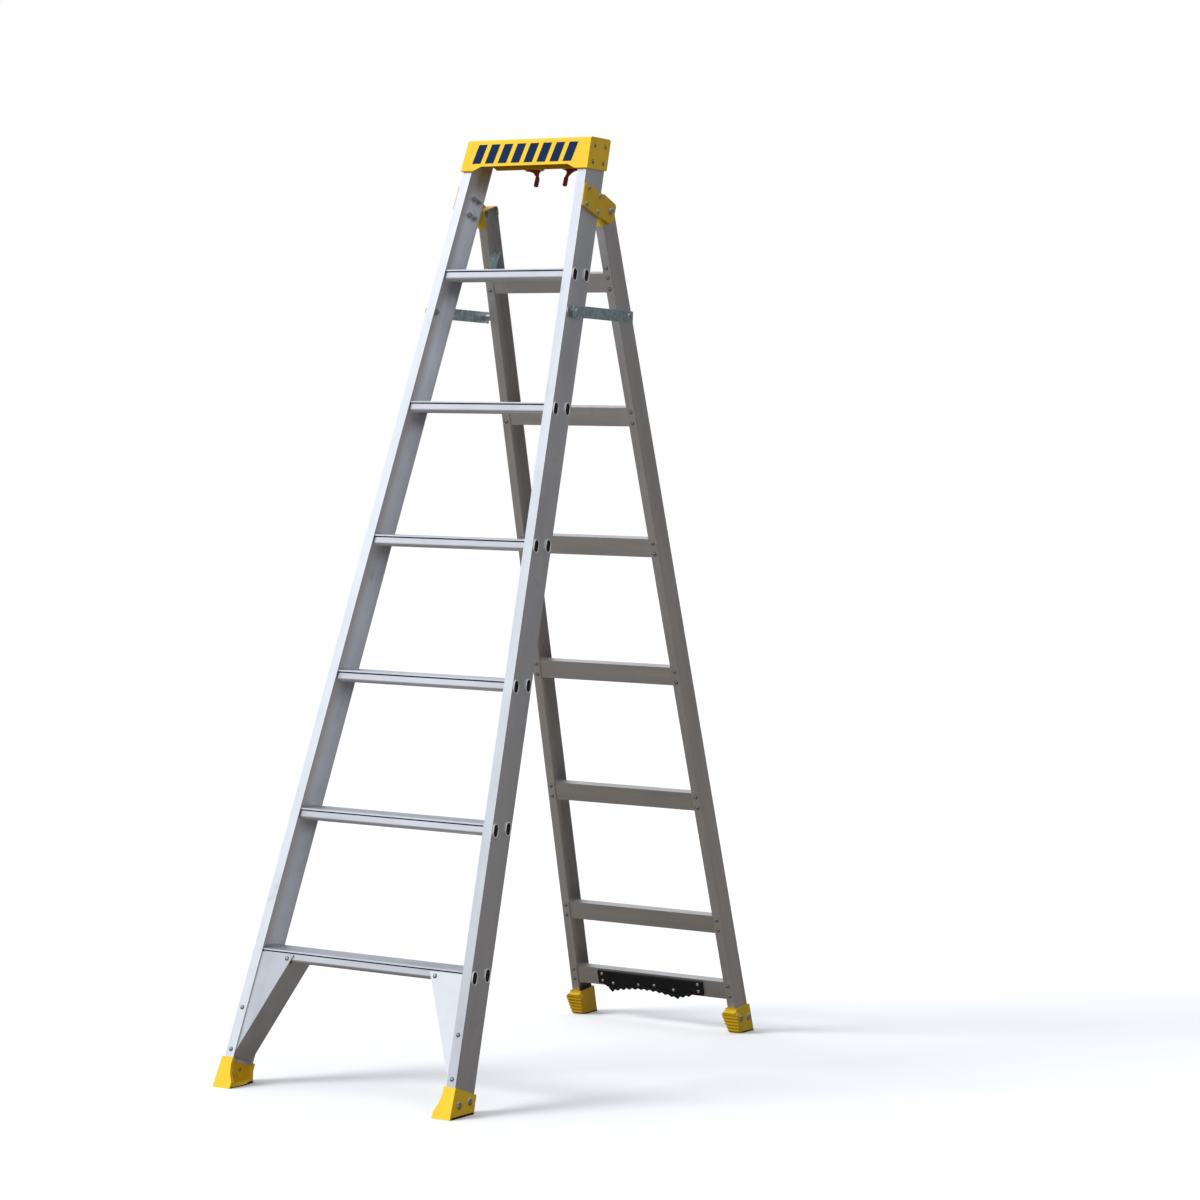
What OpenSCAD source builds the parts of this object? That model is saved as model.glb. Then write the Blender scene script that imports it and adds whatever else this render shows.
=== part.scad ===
// Dual-purpose aluminium ladder: a step ladder whose rear section swings up over the top.
// Millimetres. X is the width, Y runs from the climbing side to the rear, Z is up, the floor is z = 0.

/* [Front section] */
// Distance between steps, measured along the stiles
step_pitch = 300; // [292:1:304]
// Height of the lowest tread above the floor
first_step = 278.5; // [270:0.5:285]
// Lean of the front section from upright
front_lean = 18.2; // [17.5:0.1:19]
// Half the width over the front stiles at the floor
front_half_w = 289.5; // [280:0.5:295]
// Inward lean of each front stile
front_splay = 3.76; // [3.6:0.01:3.8]
// Depth of the front stile channel
front_depth = 71; // [70:0.5:72]
// Flange width of the front stile channel
front_flange = 21.5; // [20:0.5:24]

/* [Rear section] */
// Lean of the rear section from upright
rear_lean = 17.8; // [17.2:0.1:18.4]
// Half the width over the rear stiles at the floor
rear_half_w = 221.5; // [215:0.5:225]
// Inward lean of each rear stile
rear_splay = 1.89; // [1.8:0.01:2]
// Depth of the rear stile channel
rear_depth = 54; // [52:0.5:55]
// Flange width of the rear stile channel
rear_flange = 19; // [18:0.5:21]
// Height of a rung's front face
rung_h = 42; // [38:1:44]
// Top of the lowest rung, along the stile from the floor
low_rung = 124; // [118:1:128]
// Top of the second rung, along the stile from the floor
second_rung = 288; // [280:1:292]

/* [Hinge] */
// Height of the main pivot
pivot_z = 1835; // [1825:1:1840]
// Distance of the pivot behind the front stile
hinge_gap = 35; // [34.5:0.1:36]
// Height of the spreader bars
spreader_z = 1612; // [1590:1:1630]

/* [Top cap and feet] */
// Height of the cap's moulding
cap_h = 69; // [64:1:74]
// Height of the front boots, along the stile
boot_h = 63; // [56:1:66]
// Length of the pole grip
grip_len = 281; // [260:1:290]

/* [Hidden] */
$fn = 48;

ALUMINIUM = "silver";
YELLOW = "gold";
ZINC = "lightsteelblue";

// Sheet and wall thicknesses
front_wall = 2.4;
front_web = 2.2;
rear_wall = 2.2;
rear_web = 2;
slip = 0.3;
fit = 0.06;
big = 1000;

// Treads
tread_count = 6;
tread_h = 25;
tube_w = 13.5;
tube_h = 23.5;
tube_wall = 1.4;
tube_z = -12.8;
tube_front_d = 11.5;
tube_rear_d = 56.5;
flare_rim = 2.6;
flare_open = 1;
flare_root_t = 0.9;
flare_t = 2;

// Rungs
rung_count = 7;
rung_depth = 18;
rung_wall = 2.2;
rung_rivet_drops = [8, 33];

// Top cap
cap_lap = 4.5;
cap_front_d = -5;
cap_wall = 4;
cap_back_wall = 2.6;
cap_back_d = front_depth + slip + cap_back_wall;
cap_raise = 10;
cap_back_raise = 8.5;
cap_rivet_drops = [14, 50];
cap_rivet_depths = [15, 56];

// Hinge
plate_t = 6;
plate_half = 27;
plate_edge_t = 1.8;
plate_chamfer = 7;
lobe_drop = 3;
rear_pivot_d = 25;
pivot_r = 5;
end_cap_wall = 2;
end_cap_down = 26;
stile_above_pivot = 12;
lobe_end = front_depth + hinge_gap + 19;

// Spreader bars
bar_x = 184.5;
bar_t = 3;
bar_w = 25;
stud_d = 25;
bar_pivot_d = 9.5;
bar_front_end = 10;
bar_rear_end = 16;
bar_pin_r = 4;

// Latch levers
latch_d = 107.4;
latch_s = 2069.8;
lug_t = 3;
lug_r = 5.5;
latch_in = 33;
latch_out = 65;
latch_pin_r = 2.5;
latch_barrel_r = 5;

// Feet
sole_h = 8;
toe_reach = 9.5;
heel_d = 56;
heel_reach = heel_d / cos(rear_lean);
rivet_r = 2.4;
hinge_bolt_r = 3;
foot_bolt_r = 3.8;
foot_head_r = 8;
hinge_head_r = 5.8;
grip_bolt_r = 2;
wall_drill = 6;
stack_drill = 14;

// Round grooves across the soles
sole_groove_r = 3.6;
sole_groove_z = -1.4;
front_groove_pitch = 13;
rear_groove_pitch = 14;

// Where the two sections stand
pivot_d = front_depth + hinge_gap;
pivot_s = (pivot_z + pivot_d * sin(front_lean)) / cos(front_lean);
pivot_run = pivot_s * sin(front_lean) + pivot_d * cos(front_lean);
rear_pivot_s = (pivot_z - rear_pivot_d * sin(rear_lean)) / cos(rear_lean);
rear_run = rear_pivot_s * sin(rear_lean) - rear_pivot_d * cos(rear_lean);
stance = pivot_run + rear_run;
front_y = (toe_reach - stance - heel_reach) / 2;
rear_y = front_y + stance;
pivot_y = front_y + pivot_run;
cap_top = step_z(tread_count + 1);
lobe_x = front_web_x(pivot_s) + 1.2;
stud_y = front_y + front_face(stud_d, spreader_z);
bar_pivot_y = rear_y + rear_face(bar_pivot_d, spreader_z);

function step_z(k) = first_step + (k - 1) * step_pitch * cos(front_lean);
function rung_top(k) = k == 1 ? low_rung : second_rung + (k - 2) * step_pitch;
function front_web_x(s) = front_half_w - s * tan(front_splay);
function rear_web_x(s) = rear_half_w - s * tan(rear_splay);
// Distance behind the foot of the section's front face, at depth d into the section and height z
function front_face(d, z) = (d + z * sin(front_lean)) / cos(front_lean);
function rear_face(d, z) = (d - z * sin(rear_lean)) / cos(rear_lean);

// A polygon with its corners rounded to the radii given, one for each point
function unit(v) = v / norm(v);
function arc_corner(a, p, b, r) =
    r == 0 ? [p] :
    let (u = unit(a - p), v = unit(b - p), h = acos(u * v) / 2, w = 180 - 2 * h)
    let (c = p + unit(u + v) * r / sin(h), q0 = p + u * r / tan(h) - c, q1 = p + v * r / tan(h) - c)
    [for (i = [0:4]) c + (sin(w * (1 - i / 4)) * q0 + sin(w * i / 4) * q1) / sin(w)];
function rounded(pts, radii) =
    let (n = len(pts))
    [for (i = [0:n - 1]) each arc_corner(pts[(i + n - 1) % n], pts[i], pts[(i + 1) % n], radii[i])];

// ---- Places ----

// Section frames: X width, Y depth behind the section's front face, Z up along the section
module in_front() translate([0, front_y, 0]) rotate([-front_lean, 0, 0]) children();
module in_rear() translate([0, rear_y, 0]) rotate([rear_lean, 0, 0]) children();

module on_side(side) {
    if (side > 0) children();
    else mirror([1, 0, 0]) children();
}

// Stile frames: x = 0 is the outer face of the web and +X points outwards
module on_front(side) in_front() on_side(side)
    translate([front_half_w, 0, 0]) rotate([0, -front_splay, 0]) children();
module on_rear(side) in_rear() on_side(side)
    translate([rear_half_w, 0, 0]) rotate([0, -rear_splay, 0]) children();

// A child's +Z points out of the web, or out of the front of the flange
module out_of_web(x, d, s) translate([x, d, s]) rotate([0, 90, 0]) children();
module out_of_front(x, d, s) translate([x, d, s]) rotate([90, 0, 0]) children();
module out_of_back(x, d, s) translate([x, d, s]) rotate([-90, 0, 0]) children();

module at_step(k) translate([0, front_y + step_z(k) * tan(front_lean), step_z(k)]) children();

// Extrudes an outline drawn in Y and Z along X, from x0 to x1
module along_x(x0, x1) translate([x0, 0, 0]) rotate([90, 0, 90]) linear_extrude(x1 - x0) children();
// Extrudes an outline drawn in X and Z along Y, from y0 to y1
module along_y(y0, y1) translate([0, y1, 0]) rotate([90, 0, 0]) linear_extrude(y1 - y0) children();

module above(z) translate([-big, -2 * big, z]) cube([2 * big, 4 * big, 3 * big]);
module below(z) translate([-big, -2 * big, z - big]) cube([2 * big, 4 * big, big]);

// ---- Fasteners, with the head on +Z at z = 0 ----

module drill(r, depth) translate([0, 0, -depth]) cylinder(r = r + 0.05, h = 2 * depth);

module rivet(grip) {
    head_r = 4.6;
    translate([0, 0, -grip - 0.1]) cylinder(r = rivet_r, h = grip + 0.2);
    cylinder(r1 = head_r, r2 = head_r * 0.8, h = 1.1);
    translate([0, 0, 1.1]) cylinder(r1 = head_r * 0.8, r2 = head_r * 0.4, h = 0.9);
    translate([0, 0, -grip - 1.6]) cylinder(r1 = 3.4, r2 = 4, h = 1.6);
}

module bolt(grip, r, head_r) {
    translate([0, 0, -grip - 3 * r]) cylinder(r = r, h = grip + 3 * r + 0.1);
    cylinder(r1 = head_r, r2 = 0.9 * head_r, h = 0.5 * r);
    translate([0, 0, 0.5 * r]) cylinder(r1 = 0.9 * head_r, r2 = 0.5 * head_r, h = 0.5 * r);
    translate([0, 0, -grip - 0.35 * r]) cylinder(r = 1.84 * r, h = 0.35 * r);
    translate([0, 0, -grip - 2 * r]) cylinder(r = 1.75 * r, h = 1.66 * r, $fn = 6);
}

// Domed head, and a tail spread over the far side
module foot_bolt(grip) {
    tail_r = 1.3 * foot_bolt_r;
    translate([0, 0, -grip - 0.1]) cylinder(r = foot_bolt_r, h = grip + 0.2);
    cylinder(r1 = foot_head_r, r2 = 0.9 * foot_head_r, h = 1.8);
    translate([0, 0, 1.8]) cylinder(r1 = 0.9 * foot_head_r, r2 = 0.5 * foot_head_r, h = 1.8);
    translate([0, 0, -grip - 2]) cylinder(r1 = 0.8 * tail_r, r2 = tail_r, h = 2);
}

// ---- Front stiles ----

module channel(depth, flange, wall, web, s0, s1) translate([0, 0, s0]) linear_extrude(s1 - s0)
    difference() {
        translate([-flange, 0]) square([flange, depth]);
        translate([-flange - 1, wall]) square([flange + 1 - web, depth - 2 * wall]);
    }

module oval(w, h) {
    square([w, h - w], center = true);
    for (dz = [-1, 1]) translate([0, dz * (h - w) / 2]) circle(d = w);
}

// Outlines of the two tubes under a tread, which lean with the stile
module tread_tubes(grow) for (d = [tube_front_d, tube_rear_d])
    translate([front_face(d, tube_z), tube_z]) rotate(-front_lean)
        oval(tube_w + 2 * grow, tube_h + 2 * grow);

module at_cap_rivets() for (drop = cap_rivet_drops, d = cap_rivet_depths)
    out_of_web(cap_lap, d, (cap_top - drop + d * sin(front_lean)) / cos(front_lean)) children();

module at_hinge_bolts() for (ds = [-18.5, 18.5], d = [13, 59])
    out_of_web(plate_t, d, pivot_s + ds) children();

brace_rivet_s = [80, 168];
module at_brace_flange_rivets() for (s = brace_rivet_s) {
    out_of_front(-front_flange / 2, 0, s) children();
    out_of_back(-front_flange / 2, front_depth, s) children();
}

module at_front_foot_rivets() {
    out_of_web(boot_wall, 17, 32) children();
    out_of_web(boot_wall, 54, 46) children();
}

module at_stud() translate([front_web_x(pivot_s), stud_y, spreader_z]) rotate([0, 90, 0]) children();

module front_stile(side) color(ALUMINIUM) difference() {
    on_front(side) channel(front_depth, front_flange, front_wall, front_web, 0, 2140);
    below(sole_h);
    above(cap_top - cap_wall - 1);
    for (k = [1:tread_count]) at_step(k) along_x(-big, big) tread_tubes(0.2);
    on_front(side) at_cap_rivets() drill(rivet_r, stack_drill);
    on_front(side) at_hinge_bolts() drill(hinge_bolt_r, stack_drill);
    on_front(side) at_brace_flange_rivets() drill(rivet_r, wall_drill);
    on_front(side) at_front_foot_rivets() drill(foot_bolt_r, stack_drill);
    on_side(side) at_stud() drill(4, 60);
}

// ---- Treads ----

rib_count = 15;
rib_pitch = 4.4;
rib_w = 2.4;
rib_h = 0.8;
tread_lip_d = 2.6;
tread_lip_h = 3;
tread_back = 70.4;
tread_skin = 2.4;
groove_back = 4.6;
groove_h = 2.8;
heel_w = 2;
module tread_outline() difference() {
    tread_front = front_face(tread_lip_d, 0);
    union() {
        translate([tread_front, -tread_skin]) square([tread_back - tread_front, tread_skin - rib_h]);
        for (i = [0:rib_count - 1])
            translate([tread_front + 1 + i * rib_pitch, -1.5 * rib_h]) square([rib_w, 1.5 * rib_h]);
        polygon([
            [tread_front, 0], [tread_front + heel_w, 0], [groove_back + 1, -tread_lip_h],
            [front_face(tread_lip_d, -tread_lip_h), -tread_lip_h]]);
        translate([tread_back - heel_w - rib_h, -5.5]) square([heel_w, 5]);
        tread_tubes(0);
    }
    // Groove between the lip and the tube's flat front
    translate([groove_back - 10, -tread_lip_h - groove_h]) square([10, groove_h]);
    tread_tubes(-tube_wall);
}

module tread(k) color(ALUMINIUM) {
    difference() {
        at_step(k) along_x(-front_half_w, front_half_w) tread_outline();
        for (side = [-1, 1]) on_front(side) translate([-front_web - 0.1, -50, 0]) cube([300, 300, 2200]);
    }
    for (side = [-1, 1]) tread_end(k, side);
}

module flare_ring(k, side, x0, x1, opening) intersection() {
    at_step(k) along_x(-big, big) difference() {
        tread_tubes(flare_rim);
        tread_tubes(opening);
    }
    on_front(side) translate([x0, -50, 0]) cube([x1 - x0, 300, 2200]);
}

// The tubes pass through the web, and their ends are flared over it
module tread_end(k, side) {
    intersection() {
        at_step(k) along_x(-big, big) difference() {
            tread_tubes(0);
            tread_tubes(-tube_wall);
        }
        on_front(side) translate([-front_web - 1, -50, 0]) cube([front_web + 1.2, 300, 2200]);
    }
    flare_ring(k, side, 0, flare_root_t, -tube_wall / 2);
    flare_ring(k, side, flare_root_t, flare_t, flare_open);
}

// ---- Top cap ----

cap_outer = rounded(
    [[front_face(cap_front_d, 0), 0], [front_face(cap_back_d, 0), 0],
     [front_face(cap_back_d, -cap_h), -cap_h], [front_face(cap_front_d, -cap_h), -cap_h]],
    [7, 5, 1.5, 1.5]);
cap_inner = [
    [front_face(-slip, -cap_wall), -cap_wall],
    [front_face(front_depth + slip, -cap_wall), -cap_wall],
    [front_face(front_depth + slip, -cap_h - 9), -cap_h - 9],
    [front_face(-slip, -cap_h - 9), -cap_h - 9]];

// Everything between planes that lie x outside the two webs
module between_webs(x) in_front() along_y(-200, 200)
    polygon([for (p = [[-1, 1800], [-1, 2200], [1, 2200], [1, 1800]])
        [p.x * (front_web_x(p.y) + x), p.y]]);

// Brackets that reach back from the cap's rear wall to the levers' pins
module lug_plates() for (x = [latch_in - 1 - lug_t, latch_out + 1]) in_front() {
    along_x(x, x + lug_t) polygon([
        [cap_back_d - 1, latch_s - lug_r], [latch_d, latch_s - lug_r],
        [latch_d, latch_s + lug_r], [cap_back_d - 1, latch_s + 14]]);
    translate([x, latch_d, latch_s]) rotate([0, 90, 0]) cylinder(r = lug_r, h = lug_t);
}

module top_cap() color(YELLOW) difference() {
    union() {
        intersection() {
            at_step(tread_count + 1) along_x(-200, 200) difference() {
                polygon(cap_outer);
                polygon(cap_inner);
            }
            between_webs(cap_lap);
        }
        intersection() {
            at_step(tread_count + 1) along_x(-200, 200) polygon(cap_outer);
            difference() {
                between_webs(cap_lap);
                between_webs(slip);
            }
        }
        at_step(tread_count + 1) for (x = [-52, 0, 52])
            along_x(x - 1.5, x + 1.5) polygon([[-3, -2], [74, -2], [66, -24], [-9, -24]]);
        for (side = [-1, 1]) on_side(side) lug_plates();
    }
    // The front lower edge rises between the stiles
    at_step(tread_count + 1) along_y(-60, -12) polygon(
        [[-131, -cap_h - 5], [-131, -cap_h], [-110, -cap_h + cap_raise],
         [110, -cap_h + cap_raise], [131, -cap_h], [131, -cap_h - 5]]);
    // The rear wall ends higher, with its corners cut off beside the stiles
    at_step(tread_count + 1) along_y(20, 110) polygon(
        [[-139, -cap_h - 5], [-139, -cap_h + 20], [-122, -cap_h + cap_back_raise],
         [122, -cap_h + cap_back_raise], [139, -cap_h + 20], [139, -cap_h - 5]]);
    // Grip grooves in the standing surface
    at_step(tread_count + 1) for (y = [12, 24, 36, 48, 60]) translate([-140, y, -1]) cube([280, 3, 5]);
    for (side = [-1, 1]) {
        on_front(side) at_cap_rivets() drill(rivet_r, stack_drill);
        on_side(side) in_front() translate([latch_in - 10, latch_d, latch_s]) rotate([0, 90, 0])
            cylinder(r = latch_pin_r + fit, h = 60);
    }
}

module cap_rivets() color(ZINC) for (side = [-1, 1])
    on_front(side) at_cap_rivets() rivet(cap_lap + front_web + 0.1);

// ---- Bottom braces ----

brace_t = 2;
brace_top = 287;
brace_bottom = 66;
brace_in_top = 169;
brace_in_bottom = 268;

module brace_plate(d0, d1) in_front() along_y(d0, d1) polygon([
    [brace_in_top, brace_top],
    [front_web_x(brace_top) - front_web - slip, brace_top],
    [front_web_x(brace_bottom) - front_web - slip, brace_bottom],
    [brace_in_bottom, brace_bottom]]);

module brace_side(d0, d1) in_front() along_y(d0, d1) polygon([
    [brace_in_top, brace_top], [brace_in_top + brace_t, brace_top],
    [brace_in_bottom + brace_t, brace_bottom], [brace_in_bottom, brace_bottom]]);

module brace(side) color(ALUMINIUM) {
    lap = front_wall + 0.1;
    difference() {
        on_side(side) {
            brace_plate(lap, lap + brace_t);
            difference() {
                union() {
                    brace_side(lap, front_depth - lap);
                    brace_plate(front_depth - lap - brace_t, front_depth - lap);
                }
                intersection() {
                    in_front() translate([0, lap + brace_t, 0]) cube([400, 100, 600]);
                    above(step_z(1) - tread_h);
                }
            }
        }
        on_front(side) at_brace_flange_rivets() drill(rivet_r, wall_drill);
        on_side(side) at_brace_top_rivet() drill(rivet_r, wall_drill);
    }
}

module at_brace_top_rivet() in_front() out_of_front(brace_in_top + 15, front_wall + 0.1, brace_top - 9)
    children();

module brace_rivets() color(ZINC) for (side = [-1, 1]) {
    on_front(side) at_brace_flange_rivets() rivet(front_wall + brace_t + 0.2);
    on_side(side) at_brace_top_rivet() {
        cylinder(r1 = 4.6, r2 = 3.7, h = 1.1);
        translate([0, 0, 1.1]) cylinder(r1 = 3.7, r2 = 1.8, h = 0.9);
        translate([0, 0, -brace_t]) cylinder(r = rivet_r, h = brace_t + 0.1);
    }
}

// ---- Front feet ----

boot_wall = 3.5;
boot_front_d = -4;
boot_back_d = front_depth + 3.7;
lining_t = 3;
lining_d = front_wall + slip;
lining_in = front_web + slip + lining_t;
lining_h = boot_h - 4;
function front_point(d, s) =
    [s * sin(front_lean) + d * cos(front_lean), s * cos(front_lean) - d * sin(front_lean)];
front_boot_side = [
    [-toe_reach, 0], [boot_back_d / cos(front_lean), 0],
    front_point(boot_back_d, boot_h), front_point(boot_front_d, boot_h)];
// Across the foot, the inner edge flares to a wide sole
boot_in = -front_flange - 3;
front_boot_across = rounded(
    [[boot_in, 80], [boot_wall, 80], [boot_wall, -40], [-40, -40],
     [-39.5, 13], [-37, 18], [-30, 30], [boot_in, 50]],
    [0, 0, 0, 0, 3, 6, 12, 12]);

gusset_y = [27, 42];
module boot_gusset(y) along_y(y, y + 3) polygon([[-38, 6], [-3, 6], [-3, 40], [-8, 40]]);

// Plastic that lies against the inner faces of the web and flanges
module boot_lining() {
    translate([-lining_in, lining_d, 0]) cube([lining_t, front_depth - 2 * lining_d, lining_h]);
    for (y = [lining_d, front_depth - lining_d - lining_t])
        translate([-front_flange, y, 0]) cube([front_flange - front_web - slip, lining_t, lining_h]);
}

module front_foot(side) color(YELLOW) difference() {
    intersection() {
        translate([0, front_y, 0]) along_x(-400, 400) polygon(front_boot_side);
        on_front(side) along_y(-60, 160) polygon(front_boot_across);
        union() {
            difference() {
                on_side(side) translate([200, front_y - 30, 0]) cube([200, 200, 100]);
                difference() {
                    on_front(side) {
                        translate([-front_flange - slip, -slip, -60])
                            cube([front_flange + slip + 0.1, front_depth + 2 * slip, 200]);
                        translate([-80, 2.6, -60]) cube([70, front_depth - 5.2, 200]);
                    }
                    below(sole_h - 0.2);
                }
            }
            on_front(side) {
                for (y = gusset_y) boot_gusset(y);
                boot_lining();
            }
        }
    }
    // Cross grooves in the sole
    on_side(side) for (i = [0:5]) translate([200, front_y + 1 + i * front_groove_pitch, sole_groove_z])
        rotate([0, 90, 0]) cylinder(r = sole_groove_r, h = 200);
    on_front(side) at_front_foot_rivets() drill(foot_bolt_r, stack_drill);
}

module front_foot_rivets() color(ZINC) for (side = [-1, 1])
    on_front(side) at_front_foot_rivets() foot_bolt(boot_wall + lining_in);

// ---- Hinge plates and pivot ----

module at_pivot(side) on_side(side) translate([0, pivot_y, pivot_z]) rotate([0, 90, 0]) children();

module hinge_plate(side) color(YELLOW) difference() {
    union() {
        on_front(side) along_x(0.05, plate_t) polygon(rounded(
            [[0, pivot_s - plate_half], [front_depth + 2, pivot_s - plate_half],
             [front_depth + 2, pivot_s + plate_half], [0, pivot_s + plate_half]],
            [7, 0, 0, 7]));
        on_side(side) in_front() along_x(lobe_x, lobe_x + plate_t) {
            polygon(rounded(
                [[front_depth + slip, pivot_s - plate_half], [lobe_end, pivot_s - plate_half],
                 [lobe_end, pivot_s + plate_half - 6],
                 [front_depth + slip, pivot_s + plate_half - lobe_drop]],
                [0, 16, 7, 0]));
        }
    }
    // The front edge tapers down to the stile
    on_front(side) translate([0, 0, pivot_s - 2 * plate_half]) linear_extrude(4 * plate_half)
        polygon([[plate_edge_t, -0.1], [plate_t + 0.1, -0.1], [plate_t + 0.1, plate_chamfer]]);
    on_front(side) at_hinge_bolts() drill(hinge_bolt_r, stack_drill);
    at_pivot(side) translate([0, 0, 100]) cylinder(r = pivot_r + 0.05, h = 100);
}

module hinge_bolts() color(ZINC) for (side = [-1, 1])
    on_front(side) at_hinge_bolts() bolt(plate_t + front_web, hinge_bolt_r, hinge_head_r);

module pivot_bolt(side) color(ZINC) {
    nut_face = rear_web_x(rear_pivot_s) - rear_web - 0.6;
    at_pivot(side) {
        translate([0, 0, nut_face - 12]) cylinder(r = pivot_r, h = lobe_x + plate_t - nut_face + 12.1);
        translate([0, 0, lobe_x + plate_t]) cylinder(r = 8, h = 1.5);
        translate([0, 0, lobe_x + plate_t + 1.5]) cylinder(r1 = 7.4, r2 = 6.8, h = 2.6);
        translate([0, 0, lobe_x + plate_t + 4.1]) cylinder(r1 = 6.8, r2 = 4, h = 1.8);
        translate([0, 0, nut_face - 1.5]) cylinder(r = 9, h = 1.5);
        translate([0, 0, nut_face - 9]) cylinder(r = 8.5, h = 7.6, $fn = 6);
    }
}

// ---- Spreader studs and keepers on the front stiles ----

module spreader_studs() color(ZINC) for (side = [-1, 1]) {
    s = (spreader_z + stud_d * sin(front_lean)) / cos(front_lean);
    web_x = front_web_x(s);
    on_side(side) translate([0, stud_y, spreader_z]) rotate([0, 90, 0]) {
        translate([0, 0, web_x - 14]) cylinder(r = 4, h = bar_x - 0.5 - web_x + 14);
        translate([0, 0, web_x + 0.6]) cylinder(r = 7, h = bar_x - 0.5 - web_x - 0.6);
        translate([0, 0, web_x - front_web - 7.6]) cylinder(r = 7.5, h = 7, $fn = 6);
    }
}

module spreader_keepers() color(ZINC) for (side = [-1, 1]) {
    keep_s = (spreader_z + 7) / cos(front_lean);
    keep_h = 11;
    keep_t = 1.5;
    on_front(side) difference() {
        translate([0.05, 1, keep_s - keep_h / 2]) {
            cube([keep_t, 14, keep_h]);
            cube([2 * keep_t, keep_t, keep_h]);
        }
        out_of_web(0, 9, keep_s) drill(1.5, 5);
    }
}

// ---- Latch levers and their pins ----

module at_latch(side) on_side(side) in_front() translate([0, latch_d, latch_s]) children();

module latch_pins() color(ZINC) for (side = [-1, 1]) at_latch(side) rotate([0, 90, 0]) {
    translate([0, 0, latch_in - 6]) cylinder(r = latch_pin_r, h = latch_out - latch_in + 12);
    translate([0, 0, latch_in - 6.5]) cylinder(r = 4, h = 2.2);
    translate([0, 0, latch_out + 4.3]) cylinder(r = 4, h = 2.2);
}

handle_w = 8;
handle_end = -42;
latch_outline = rounded(
    [[latch_in, 4], [latch_out - slip, 4], [latch_out - slip, -4], [latch_in + 17, -9],
     [latch_in + handle_w, -19], [latch_in + handle_w, handle_end], [latch_in, handle_end],
     [latch_in, -22], [latch_in + 3, -15], [latch_in + 3, -9], [latch_in, -5]],
    [0, 0, 2, 9, 5, 3.5, 3.5, 4, 3, 3, 1]);

module latch_lever(side) color("darkred") at_latch(side) difference() {
    union() {
        along_y(-2, 2) polygon(latch_outline);
        translate([latch_in, 0, 0]) rotate([0, 90, 0])
            cylinder(r = latch_barrel_r, h = latch_out - latch_in - slip);
        translate([latch_in, -3, handle_end + 1]) cube([handle_w, 6, 19]);
    }
    rotate([0, 90, 0]) cylinder(r = latch_pin_r + fit, h = 100);
}

// ---- Rear stiles ----

module at_rung_rivets(k) for (drop = rung_rivet_drops)
    out_of_front(-rear_flange / 2, 0, rung_top(k) - drop) children();

gusset_rivet_s = rung_top(rung_count) + 14;
module at_gusset_rivet() out_of_front(-rear_flange / 2, 0, gusset_rivet_s) children();

module at_rear_foot_rivets() {
    out_of_web(rear_boot_wall, 9.5, 33) children();
    out_of_web(rear_boot_wall, 44, 22) children();
}

module at_bar_pivot(side) on_side(side) translate([0, bar_pivot_y, spreader_z]) rotate([0, 90, 0])
    children();

stile_top = rear_pivot_s + stile_above_pivot;
// Rounds the stile's top corners, so that they pass the front section as the ladder opens
module rear_top_shape(grow, r, x0, x1) along_x(x0, x1) polygon(rounded(
    [[-grow, -60], [rear_depth + grow, -60], [rear_depth + grow, stile_top + grow],
     [-grow, stile_top + grow]], [0, 0, r, r]));

module rear_stile(side) color(ALUMINIUM) difference() {
    intersection() {
        on_rear(side) channel(rear_depth, rear_flange, rear_wall, rear_web, -20, stile_top);
        on_rear(side) rear_top_shape(0, 6, -50, 10);
    }
    below(sole_h);
    for (k = [1:rung_count]) on_rear(side) at_rung_rivets(k) drill(rivet_r, wall_drill);
    on_rear(side) at_gusset_rivet() drill(rivet_r, wall_drill);
    on_rear(side) at_rear_foot_rivets() drill(foot_bolt_r, stack_drill);
    at_pivot(side) translate([0, 0, 100]) cylinder(r = pivot_r + fit, h = 100);
    at_bar_pivot(side) translate([0, 0, 100]) cylinder(r = bar_pin_r + 0.05, h = 100);
}

// ---- Rungs ----

module rung_section() difference() {
    square([rung_depth, rung_h]);
    translate([rung_wall, rung_wall]) square([rung_depth, rung_h - 2 * rung_wall]);
}

module rung(k) color(ALUMINIUM) difference() {
    in_rear() translate([0, rear_wall + 0.1, rung_top(k) - rung_h]) along_x(-rear_half_w, rear_half_w)
        rung_section();
    for (side = [-1, 1]) {
        on_rear(side) translate([-rear_web - 0.1, -50, 0]) cube([100, 200, 2000]);
        on_rear(side) at_rung_rivets(k) drill(rivet_r, wall_drill);
    }
    if (k == 1) at_grip_bolts() drill(grip_bolt_r, stack_drill);
}

module rung_rivets() color(ZINC) for (side = [-1, 1]) on_rear(side) {
    for (k = [1:rung_count]) at_rung_rivets(k) rivet(rear_wall + rung_wall + 0.1);
    at_gusset_rivet() rivet(rear_wall + gusset_t + 0.1);
}

// ---- End caps and gussets on the rear stiles ----

module end_cap(side) color(YELLOW) difference() {
    on_rear(side) intersection() {
        rear_top_shape(end_cap_wall, 8, -rear_flange - 0.5, end_cap_wall);
        translate([-50, -20, rear_pivot_s - end_cap_down]) cube([100, 100, 100]);
    }
    on_rear(side) rear_top_shape(0.1, 6, -50, 0.1);
    // The plain side leaves the rear flange bare below the pivot
    on_rear(side) translate([-50, rear_depth - 8, 0]) cube([100, 20, rear_pivot_s - 8]);
    at_pivot(side) translate([0, 0, 100]) cylinder(r = pivot_r + fit, h = 100);
}

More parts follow.
